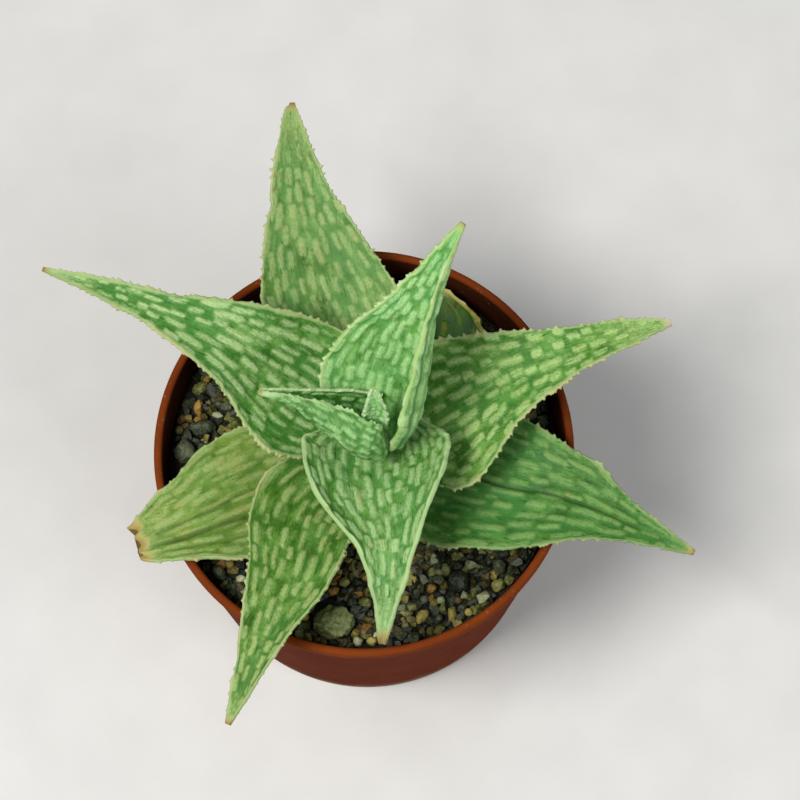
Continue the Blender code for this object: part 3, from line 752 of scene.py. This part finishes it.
def leafMaterial(name, leaf):
    dark, middle, light = (linear(*c) for c in leaf["green"])
    deep = tuple(v * leafTones["deep"] for v in dark)
    cool, warm = (linear(*c) for c in leaf["pale"])
    material, tree, shader = startMaterial(name, Specular_IOR_Level=0.2)
    place = attributeOf(tree, "leafPlace", "Vector")
    streak, fromRim, dry, under, groove = (attributeOf(tree, key) for key in
                                           ("streak", "fromRim", "dry", "under", "groove"))
    mottle, fine, fibre, blotch, patch, warmNoise, tanNoise, pores = (
        noiseValue(tree, place, *values) for values in leafNoise.values())
    # green between the marks, bluer in patches
    speck = plus(tree, times(tree, mottle, 0.6), times(tree, fine, 0.4))
    tone = plus(tree, times(tree, speck, 0.55), times(tree, patch, 0.45))
    green = colourRamp(tree, tone, ((0.4, dark), (0.5, middle), (0.58, light)))
    blue = tuple(v * k for v, k in zip(middle, leafTones["blue"]))
    green = colourMix(tree, easeBetween(tree, blotch, 0.4, 0.62, 0.0, leaf["blue"]), green, blue)
    scratch = easeBetween(tree, fibre, 0.4, 0.31, 0.0, 0.75)
    green = colourMix(tree, scratch, green, deep)
    # pale marks with soft broken edges
    broken = plus(tree, minus(tree, fine, 0.5), minus(tree, fibre, 0.5))
    edge = plus(tree, streak, times(tree, broken, 0.75))
    mark = easeBetween(tree, edge, -0.04, 1.14)
    warmth = easeBetween(tree, warmNoise, 0.64 - leaf["warm"] * 0.3, 0.76 - leaf["warm"] * 0.2)
    pale = colourMix(tree, warmth, cool, warm)
    pale = colourMix(tree, easeBetween(tree, fine, 0.6, 0.36, 0.0, 0.5), pale, light)
    pale = colourMix(tree, easeBetween(tree, fibre, 0.42, 0.33, 0.0, 0.5), pale, middle)
    colour = colourMix(tree, times(tree, mark, leaf["contrast"]), green, pale)
    # painted shade: the colour is darkened along the creases, for the shade that falls in them
    colour = colourMix(tree, easeBetween(tree, groove, 0.1, 0.45, 0.0, 0.7), colour, deep)
    # the underside is greyer and plainer
    underShare = times(tree, easeBetween(tree, under, 0.6, 0.9), leafTones["underShare"])
    colour = colourMix(tree, underShare, colour, linear(*leafTones["under"]))
    # pale horny margin, tan in places
    rimWidth = leaf["rim"][0]
    rimEdge = plus(tree, fromRim, times(tree, minus(tree, mottle, 0.5), 1.2))
    rimShare = easeBetween(tree, rimEdge, rimWidth * 1.3, rimWidth * 0.35)
    tan = easeBetween(tree, tanNoise, 0.68 - leaf["warm"] * 0.25, 0.8 - leaf["warm"] * 0.2)
    marginPale, marginTan = leaf["margin"]
    rimColour = colourMix(tree, tan, linear(*marginPale), linear(*marginTan))
    colour = colourMix(tree, times(tree, rimShare, leafTones["rimShare"]), colour, rimColour)
    # teeth
    tooth = times(tree, easeBetween(tree, fromRim, 0.02, -0.4), leafTones["toothShare"])
    colour = colourMix(tree, tooth, colour, linear(*leaf["tooth"]))
    # brown scars
    scar = cellDistance(tree, place, leafTones["scarScale"], leafTones["scarStretch"])
    scar = plus(tree, scar, times(tree, fine, 0.22))
    scar = easeBetween(tree, scar, 0.17, 0.11, 0.0, leafTones["scarShare"])
    colour = colourMix(tree, scar, colour, linear(*leafTones["scar"]))
    # dry tip
    dryEdge = plus(tree, dry, times(tree, minus(tree, mottle, 0.5), 0.9))
    dryLight, dryDark = leaf["dryTone"]
    dryColour = colourMix(tree, easeBetween(tree, dryEdge, 0.55, 1.05), linear(*dryLight), linear(*dryDark))
    colour = colourMix(tree, easeBetween(tree, dryEdge, 0.2, 0.75), colour, dryColour)
    tree.links.new(colour, shader.inputs["Base Color"])
    rough = plus(tree, times(tree, fine, 0.2), times(tree, mark, 0.08))
    tree.links.new(plus(tree, rough, 0.4), shader.inputs["Roughness"])
    turned = bumpInto(tree, shader, plus(tree, speck, edge), 0.12 * mm, 0.6)
    bumpInto(tree, shader, pores, 0.04 * mm, 0.4, turned)
    return material


def makeLeaves():
    for seed, (name, own) in enumerate(leaves.items(), 1):
        leaf = {**leafDefaults, **own}
        mesh = makeLeafMesh(name + "Skin", leaf, seed)
        slotName = "leaf_withered" if name == "leaf_withered" else "leaf"
        finishPiece(name + "Skin", mesh, leafMaterial(name + "Green", leaf), slotName, name)
    print("leaves made")


makeLeaves()


# lengths in mm
stem = dict(
    rounding=1.3, firstRing=2.2, ringSpacing=2.3, ring=((0, 0), (0.25, 0.4), (0.05, 0.8)), steps=56,
    knotScale=420, knot=0.16, crease=50,
    tones=((0.3, (92, 84, 44)), (0.55, (128, 134, 74)), (0.75, (160, 158, 104))),
)


def makeStem():
    low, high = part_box("stem")
    radius = (high[0] - low[0]) / 2 / mm
    foot, top = low[2] / mm, high[2] / mm
    bend = stem["rounding"]
    profile = [(0, top)] + arcPoints(radius - bend, top - bend, bend, 90, 0, 4)
    level = top - stem["firstRing"]
    while level > foot + 1.5:   # a shallow ring below each old leaf base
        profile += [(radius - deep, level - down) for deep, down in stem["ring"]]
        level -= stem["ringSpacing"]
    profile += [(radius - 0.1, foot + bend), (radius - bend, foot), (0, foot)]
    bm = bmesh.new()
    spinProfile(bm, profile, stem["steps"])
    for vert in bm.verts:
        knot = noise.noise(vert.co * stem["knotScale"]) * stem["knot"] * mm
        if vert.co.x or vert.co.y:
            vert.co.x -= abs(knot) * vert.co.x / (radius * mm)
            vert.co.y -= abs(knot) * vert.co.y / (radius * mm)
    bmesh.ops.translate(bm, verts=bm.verts, vec=(plant["x"] * mm, plant["y"] * mm, 0))
    material, tree, shader = startMaterial("stemBark", Specular_IOR_Level=0.3, Roughness=0.65)
    place = addNode(tree, "ShaderNodeTexCoord", {}).outputs["Object"]
    fibre = noiseValue(tree, place, 900, 4, 0.6, (1, 1, 0.3))
    tree.links.new(colourRamp(tree, fibre, toneStops(stem["tones"])), shader.inputs["Base Color"])
    bumpInto(tree, shader, fibre, 0.1 * mm, 0.6)
    finishPiece("stemBarkRings", meshFrom(bm, "stemBarkRings", stem["crease"]), material, "stem", "stem")


makeStem()
print("stem made")


# lengths in mm
grit = dict(
    grains=1500, shapes=9, reach=41.7, size=(1.7, 3.1), layer=0.9, rise=0.25, swell=0.35, swellWide=9,
    apart=0.62, fromWall=0.3, fromStone=0.25, tries=30000, seed=5, crease=25,
    share=(("dark", 0.35), ("grey", 0.12), ("olive", 0.19), ("ochre", 0.11), ("brown", 0.13), ("amber", 0.06),
           ("pale", 0.04)),
)

# shares of the chip's width
chip = dict(cuts=7, cutAt=(0.36, 0.47), snap=0.0001, merge=0.03, bevel=0.03,
            long=(0.85, 1.2), wide=(0.7, 1.0), tall=(0.7, 0.95))

stoneColours = {   # dark, middle and light of each kind
    "dark": ((16, 20, 14), (31, 38, 27), (72, 80, 58)),
    "grey": ((32, 38, 29), (56, 63, 48), (94, 100, 76)),
    "olive": ((58, 62, 28), (92, 94, 46), (138, 138, 78)),
    "ochre": ((84, 74, 28), (124, 112, 48), (168, 156, 82)),
    "brown": ((42, 38, 18), (68, 60, 29), (104, 92, 48)),
    "amber": ((84, 55, 17), (124, 86, 33), (166, 130, 60)),
    "pale": ((106, 112, 80), (144, 152, 112), (182, 188, 146)),
    "boulder": ((26, 38, 24), (74, 91, 54), (134, 142, 88)),
}
fleckColour = (156, 146, 92)


def stoneMaterial(kind):
    dark, middle, light = (linear(*c) for c in stoneColours[kind])
    material, tree, shader = startMaterial(kind + "Stone", Specular_IOR_Level=0.4)
    place = addNode(tree, "ShaderNodeTexCoord", {}).outputs["Object"]
    tone = attributeOf(tree, "tone")
    grain = noiseValue(tree, place, 1300, 5, 0.65)
    mixed = plus(tree, grain, times(tree, minus(tree, tone, 0.5), 0.35))
    colour = colourRamp(tree, mixed, ((0.3, dark), (0.5, middle), (0.72, light)))
    fleck = easeBetween(tree, cellDistance(tree, place, 2600), 0.3, 0.1, 0.0, 0.6)
    colour = colourMix(tree, fleck, colour, linear(*fleckColour))
    tree.links.new(colour, shader.inputs["Base Color"])
    tree.links.new(plus(tree, times(tree, grain, 0.4), 0.24), shader.inputs["Roughness"])
    turned = bumpInto(tree, shader, grain, 0.25 * mm, 0.7)
    bumpInto(tree, shader, noiseValue(tree, place, 5200, 3), 0.06 * mm, 0.5, turned)
    return material


stoneLooks = {kind: stoneMaterial(kind) for kind in stoneColours}


def strikeOff(bm, place, way, snap):
    everything = bm.verts[:] + bm.edges[:] + bm.faces[:]
    cut = bmesh.ops.bisect_plane(bm, geom=everything, dist=snap, plane_co=place, plane_no=way,
                                 clear_outer=True)
    rim = [item for item in cut["geom_cut"] if isinstance(item, bmesh.types.BMEdge)]
    if rim:
        bmesh.ops.holes_fill(bm, edges=rim, sides=0)


def randomWay(chance):
    return Vector([chance.gauss(0, 1) for _ in range(3)])


def chipMesh(name, chance):
    # an angular chip: a block with its corners struck off
    bm = bmesh.new()
    bmesh.ops.create_cube(bm, size=1.0)
    for _ in range(chip["cuts"]):
        way = randomWay(chance).normalized()
        strikeOff(bm, way * chance.uniform(*chip["cutAt"]), way, chip["snap"])
    bmesh.ops.remove_doubles(bm, verts=bm.verts, dist=chip["merge"])
    bmesh.ops.recalc_face_normals(bm, faces=bm.faces)
    bmesh.ops.bevel(bm, geom=bm.edges[:], offset=chip["bevel"], segments=1, profile=0.5, affect="EDGES",
                    material=-1)
    mesh = bpy.data.meshes.new(name)
    bm.to_mesh(mesh)
    bm.free()
    return mesh


def takenGround():
    # middle and half size of everything that the grit leaves free
    taken = []
    for name in frame["nodes"]:
        if name.startswith("stone_"):
            low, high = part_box(name)
            taken.append(((low[0] + high[0]) / 2 / mm, (low[1] + high[1]) / 2 / mm,
                          (high[0] - low[0]) / 2 / mm, (high[1] - low[1]) / 2 / mm))
    taken.append((plant["x"], plant["y"], plant["stemRadius"], plant["stemRadius"]))
    return np.array(taken)


def grainPlace(chance, size, layer, taken, centres):
    # a free place for a grain, or nothing
    reach = (grit["reach"] - size * grit["fromWall"]) * math.sqrt(chance.random())
    bearing = chance.uniform(0, math.tau)
    x, y = reach * math.cos(bearing), reach * math.sin(bearing)
    away = (taken[:, :2] - (x, y)) / (taken[:, 2:] + size * grit["fromStone"])
    if (away[:, 0] ** 2 + away[:, 1] ** 2).min() < 1:
        return None
    swell = noise.noise(Vector((x / grit["swellWide"], y / grit["swellWide"], 3)))
    z = plant["soilLevel"] + grit["rise"] + layer * grit["layer"] + grit["swell"] * swell
    if len(centres):
        gap = np.linalg.norm((centres - (x, y, z)) * (1, 1, 0.9), axis=1)
        if gap.min() < size * grit["apart"]:
            return None
    return x, y, z


def makeGrit():
    chance = random.Random(grit["seed"])
    chips = [chipMesh("chip%d" % i, chance) for i in range(grit["shapes"])]
    taken = takenGround()
    centres = np.empty((0, 3))
    kinds = [kind for kind, _ in grit["share"]]
    weights = [share for _, share in grit["share"]]
    heaps = {kind: bmesh.new() for kind in kinds}
    tones = {kind: heap.verts.layers.float.new("tone") for kind, heap in heaps.items()}
    for layer, wanted in enumerate((grit["grains"], grit["grains"] // 3)):
        made = 0
        for _ in range(grit["tries"]):
            if made >= wanted:
                break
            size = chance.uniform(*grit["size"])
            place = grainPlace(chance, size, layer, taken, centres)
            if place is None:
                continue
            centres = np.vstack([centres, place])
            kind = chance.choices(kinds, weights)[0]
            heap = heaps[kind]
            before = len(heap.verts)
            heap.from_mesh(chance.choice(chips))
            heap.verts.ensure_lookup_table()
            fresh = heap.verts[before:]
            turn = Matrix.Rotation(chance.uniform(0, math.tau), 4, randomWay(chance))
            sides = [size * mm * chance.uniform(*chip[key]) for key in ("long", "wide", "tall")]
            shape = Matrix.Diagonal((*sides, 1))
            put = Matrix.Translation(Vector(place) * mm) @ turn @ shape
            bmesh.ops.transform(heap, matrix=put, verts=fresh)
            tone = chance.random()
            for vert in fresh:
                vert[tones[kind]] = tone
            made += 1
    for kind, heap in heaps.items():
        mesh = meshFrom(heap, "grit_" + kind, grit["crease"])
        finishPiece("grit_" + kind, mesh, stoneLooks[kind], "stone_" + kind)
    print("grit laid,", len(centres), "grains")


def stoneKinds():
    return {part["node"]: part["material_slot"].replace("stone_", "") for part in frame["record"]["subparts"]}


stones = dict(
    cuts=5, cutAt=(0.66, 0.8), boulder=4.2, finer=((4, 5), (2.5, 3), (0, 2)), roughScale=900, rough=0.09,
    shade=(0.6, 1.3), crease=40,
)


def makeStones(kinds):
    # each stone is its CAD mesh, merged, with broken faces and a rough skin
    for name in sorted(frame["nodes"]):
        if not name.startswith("stone_"):
            continue
        seed = int(name[-2:])
        chance = random.Random(seed)
        bm = bmesh.new()
        bm.from_mesh(frame["nodes"][name].data)
        bmesh.ops.remove_doubles(bm, verts=bm.verts, dist=0.001 * mm)
        low, high = (Vector(corner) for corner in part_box(name))
        centre = (low + high) / 2
        size = (high - low).length / 3
        for _ in range(stones["cuts"]):
            way = randomWay(chance)
            way.z = abs(way.z)
            way.normalize()
            strikeOff(bm, centre + way * size * chance.uniform(*stones["cutAt"]), way, 0.01 * mm)
        bmesh.ops.triangulate(bm, faces=[face for face in bm.faces if len(face.verts) > 4])
        cuts = next(cuts for over, cuts in stones["finer"] if size > over * mm)
        bmesh.ops.subdivide_edges(bm, edges=bm.edges[:], cuts=cuts, use_grid_fill=True)
        tone = bm.verts.layers.float.new("tone")
        shade = chance.uniform(*stones["shade"])
        bm.normal_update()
        for vert in bm.verts:
            rough = noise.fractal(vert.co * stones["roughScale"] + Vector((seed, 0, 0)), 0.8, 2.2, 3)
            vert.co += vert.normal * min(0, rough - 0.8) * stones["rough"] * size
            vert[tone] = shade
        bmesh.ops.recalc_face_normals(bm, faces=bm.faces)
        kind = kinds[name]
        look = stoneLooks["boulder" if kind == "dark" and size > stones["boulder"] * mm else kind]
        finishPiece(name + "Rock", meshFrom(bm, name + "Rock", stones["crease"]), look, "stone_" + kind, name)
    print("stones made")


soilTones = dict(ground=((0.3, (18, 20, 18)), (0.55, (40, 42, 36)), (0.75, (70, 66, 50))), bits=(96, 88, 60))


def soilMaterial():
    material, tree, shader = startMaterial("darkGrit", Specular_IOR_Level=0.3, Roughness=0.9)
    place = addNode(tree, "ShaderNodeTexCoord", {}).outputs["Object"]
    crumb = noiseValue(tree, place, 700, 5, 0.7)
    bits = cellDistance(tree, place, 900)
    colour = colourRamp(tree, crumb, toneStops(soilTones["ground"]))
    bitShare = easeBetween(tree, bits, 0.25, 0.1, 0.0, 0.5)
    colour = colourMix(tree, bitShare, colour, linear(*soilTones["bits"]))
    tree.links.new(colour, shader.inputs["Base Color"])
    bumpInto(tree, shader, plus(tree, crumb, bits), 0.8 * mm, 0.9)
    return material


makeGrit()
makeStones(stoneKinds())
soilLooks = frame["nodes"]["soil"].data.materials
soilLooks.clear()
soilLooks.append(soilMaterial())
print("soil coloured")
